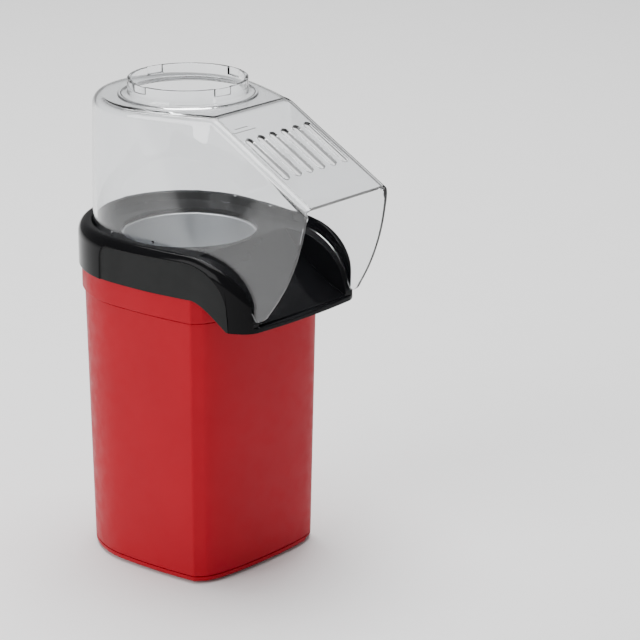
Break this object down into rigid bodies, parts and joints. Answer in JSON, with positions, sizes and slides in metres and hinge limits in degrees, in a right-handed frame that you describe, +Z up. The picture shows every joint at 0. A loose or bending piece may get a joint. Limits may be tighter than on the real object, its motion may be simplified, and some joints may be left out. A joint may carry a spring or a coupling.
{
  "type": "popcorn maker",
  "caption": "Hot-air popcorn maker: upright body with fan, heater and popping chamber inside, a collar with a chute, and a clear lift-off hood with a sloping mouth.",
  "frame": {"origin": "on the surface it stands on, under the centre of the overall box", "axes": "+Z up, -Y towards the mouth of the hood, +X to the right seen from the back"},
  "size_m": [0.124, 0.1914, 0.29],
  "materials": {
    "red_plastic": "satin moulded plastic",
    "black_plastic": "polished frame with a fine matt panel",
    "clear_plastic": "clear polished plastic",
    "black_rubber": "matt",
    "zinc_steel": "zinc plated",
    "sheet_steel": "rolled sheet",
    "spun_aluminium": "spun, dull",
    "mica": "layered mineral sheet",
    "resistance_wire": "oxidised wire",
    "brass": "plain",
    "natural_nylon": "moulded",
    "wound_copper": "lacquered windings",
    "green_board": "lacquered board",
    "dark_resin": "matt",
    "inner_black_plastic": "moulded"
  },
  "bodies": {
    "base": {"base_plate": "red_plastic", "base_screw_1": "zinc_steel", "base_screw_2": "zinc_steel", "base_screw_3": "zinc_steel", "base_screw_4": "zinc_steel", "body_shell": "red_plastic", "collar_screw_1": "zinc_steel", "collar_screw_2": "zinc_steel", "collar_screw_3": "zinc_steel", "collar_screw_4": "zinc_steel", "cord_gland": "black_rubber", "fan_housing": "inner_black_plastic", "heat_shield": "sheet_steel", "heater_coil": "resistance_wire", "heater_plate_lower": "mica", "heater_plate_upper": "mica", "heater_seat_ring": "mica", "housing_screw_1": "zinc_steel", "housing_screw_2": "zinc_steel", "housing_screw_3": "zinc_steel", "motor_can": "sheet_steel", "motor_end_cap": "natural_nylon", "motor_magnet_1": "dark_resin", "motor_magnet_2": "dark_resin", "motor_screw_1": "zinc_steel", "motor_screw_2": "zinc_steel", "popping_chamber": "spun_aluminium", "rectifier_board": "green_board", "rectifier_diode_1": "dark_resin", "rectifier_diode_2": "dark_resin", "rectifier_diode_3": "dark_resin", "rectifier_diode_4": "dark_resin", "rubber_foot_1": "black_rubber", "rubber_foot_2": "black_rubber", "rubber_foot_3": "black_rubber", "rubber_foot_4": "black_rubber", "shield_screw_1": "zinc_steel", "shield_screw_2": "zinc_steel", "shield_screw_3": "zinc_steel", "switch_housing": "inner_black_plastic", "thermal_fuse": "zinc_steel", "thermostat": "brass", "top_collar": "black_plastic"},
    "hood": {"hood": "clear_plastic"},
    "rotor": {"fan_impeller": "natural_nylon", "motor_shaft": "zinc_steel", "motor_armature": "wound_copper", "motor_commutator": "brass"},
    "rocker": {"switch_rocker": "inner_black_plastic"}
  },
  "joints": [
    {"name": "hood_lift", "type": "slide", "parent": "base", "child": "hood", "axis": [0, 0, 1], "range_m": [0, 0.12]},
    {"name": "fan_spin", "type": "hinge", "parent": "base", "child": "rotor", "pos_m": [0, 0.0277, 0.05], "axis": [0, 0, 1], "continuous": true},
    {"name": "switch_rock", "type": "hinge", "parent": "base", "child": "rocker", "pos_m": [0, 0.09027, 0.046], "axis": [-1, 0, 0], "range_deg": [0, 16]}
  ]
}
